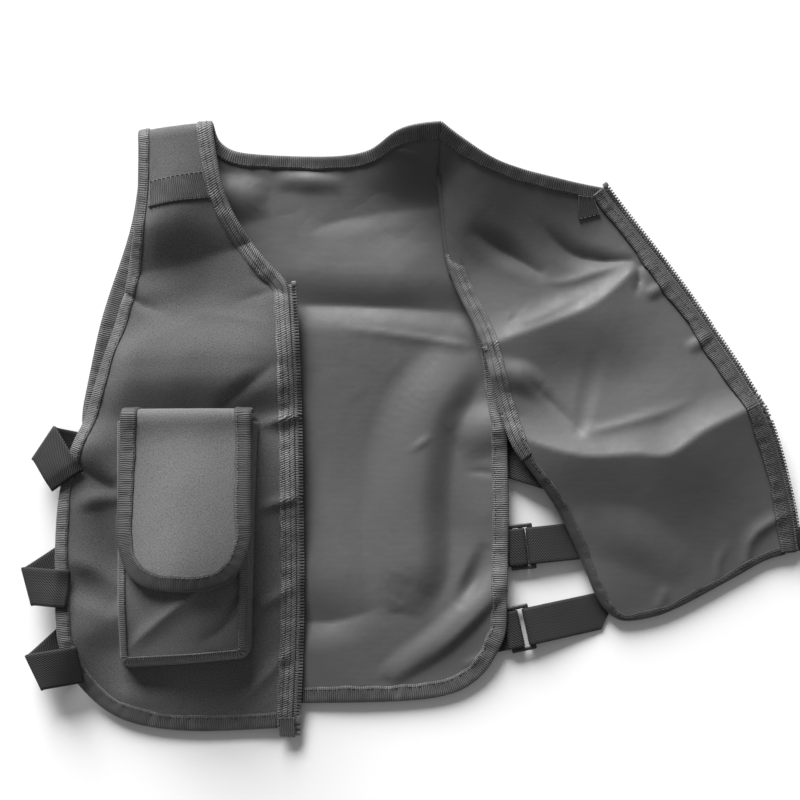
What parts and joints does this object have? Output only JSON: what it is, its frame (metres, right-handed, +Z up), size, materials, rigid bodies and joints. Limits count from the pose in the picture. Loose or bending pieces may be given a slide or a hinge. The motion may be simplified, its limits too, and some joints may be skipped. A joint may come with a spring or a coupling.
{
  "type": "tactical vest",
  "caption": "Child's black nylon tactical vest lying open on its back, with taped edges, a separated zip, a flap pouch on one front and adjustable side straps.",
  "frame": {"origin": "bottom centre of the bounding box of the vest as it lies", "axes": "+Z up from the surface it lies on, +X across the vest towards the open front, +Y from hem to shoulders"},
  "size_m": [0.5322, 0.4188, 0.052],
  "materials": {
    "woven_cloth": "matt black oxford weave",
    "coated_cloth": "dark grey coated face, satin",
    "binding_tape": "ribbed black tape",
    "webbing": "woven black webbing",
    "zip_plastic": "moulded black, satin",
    "adjuster_plastic": "moulded black, fine grain"
  },
  "bodies": {
    "root": {"front_panel_right": "woven_cloth", "back_panel": "coated_cloth", "front_panel_left": "coated_cloth", "body_binding_right": "binding_tape", "body_binding_back": "binding_tape", "body_binding_left": "binding_tape", "neck_binding_right": "binding_tape", "neck_binding_back": "binding_tape", "neck_binding_left": "binding_tape", "zip_band_right": "binding_tape", "zip_band_left": "binding_tape", "zip_tape_right": "binding_tape", "zip_tape_left": "binding_tape", "zip_teeth_right": "zip_plastic", "zip_teeth_left": "zip_plastic", "zip_pin": "zip_plastic", "zip_slider": "zip_plastic", "zip_top_tab": "binding_tape", "shoulder_webbing": "webbing", "pouch_body": "woven_cloth", "pouch_flap": "woven_cloth", "pouch_flap_binding": "binding_tape", "side_strap_left_upper": "webbing", "side_strap_left_middle": "webbing", "side_strap_left_lower": "webbing", "side_strap_right_upper": "webbing", "side_strap_right_middle": "webbing", "side_strap_right_lower": "webbing", "buckle_loop_middle": "webbing", "buckle_loop_lower": "webbing", "triglide_middle": "adjuster_plastic", "triglide_lower": "adjuster_plastic"}
  },
  "joints": []
}
